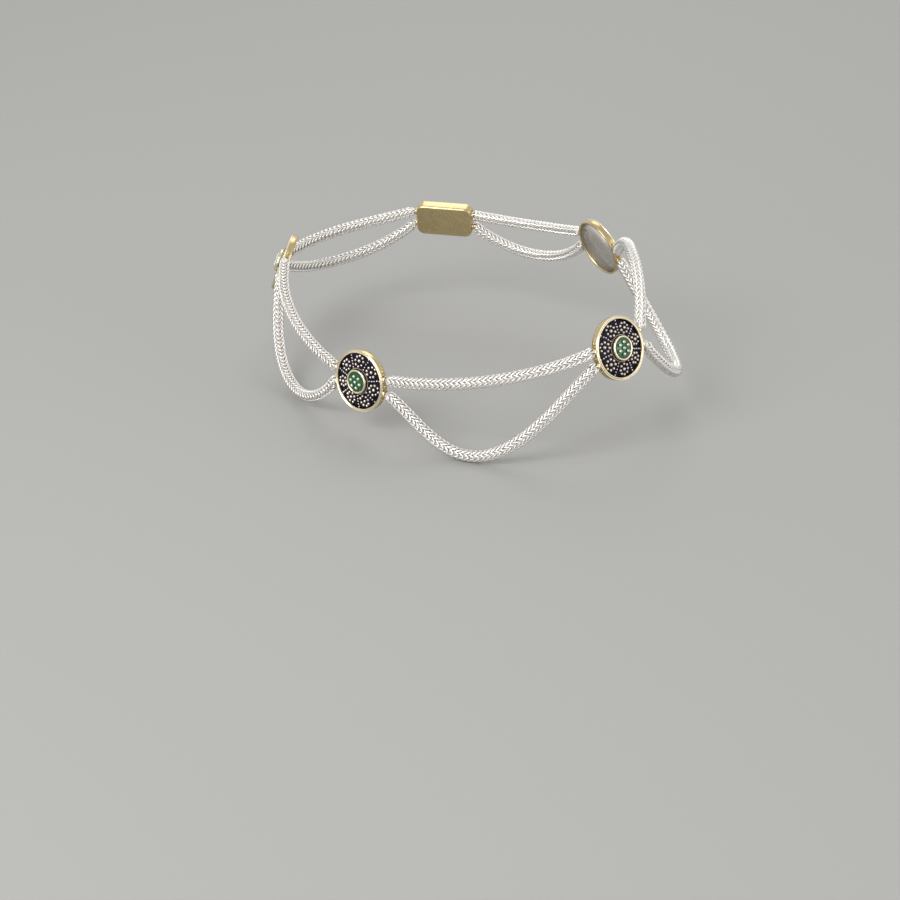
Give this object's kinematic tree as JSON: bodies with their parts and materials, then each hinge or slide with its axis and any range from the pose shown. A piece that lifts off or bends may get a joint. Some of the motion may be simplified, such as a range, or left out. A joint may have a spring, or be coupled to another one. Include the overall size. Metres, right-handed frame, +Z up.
{
  "type": "anklet",
  "caption": "Anklet of domed granulated round medallions in plain bezels, joined by double strands of woven chain, one taut and one hanging in a swag.",
  "frame": {"origin": "middle of the loop on the axis of the ankle, at the height round which the medallions lie", "axes": "+Z up the leg, -Y towards the front swag between medallions 2 and 3, +X towards medallion 3's side"},
  "size_m": [0.0827, 0.0834, 0.0316],
  "materials": {
    "gold": "polished yellow gold, lightly scratched",
    "oxidised_silver": "blackened silver ground with bright raised grains",
    "woven_silver": "bright silver wire with dark tarnish between the loops",
    "green_enamel": "deep green glossy vitreous enamel"
  },
  "bodies": {
    "root": {"bezel_1": "gold", "plate_1": "oxidised_silver", "collet_1": "gold", "enamel_1": "green_enamel", "bezel_2": "gold", "plate_2": "oxidised_silver", "collet_2": "gold", "enamel_2": "green_enamel", "bezel_3": "gold", "plate_3": "oxidised_silver", "collet_3": "gold", "enamel_3": "green_enamel", "bezel_4": "gold", "plate_4": "oxidised_silver", "collet_4": "gold", "enamel_4": "green_enamel", "upper_chain_12": "woven_silver", "upper_chain_23": "woven_silver", "upper_chain_34": "woven_silver", "upper_chain_45": "woven_silver", "upper_chain_51": "woven_silver", "lower_chain_12": "woven_silver", "lower_chain_23": "woven_silver", "lower_chain_34": "woven_silver", "lower_chain_45": "woven_silver", "lower_chain_51": "woven_silver", "clasp": "gold"}
  },
  "joints": []
}
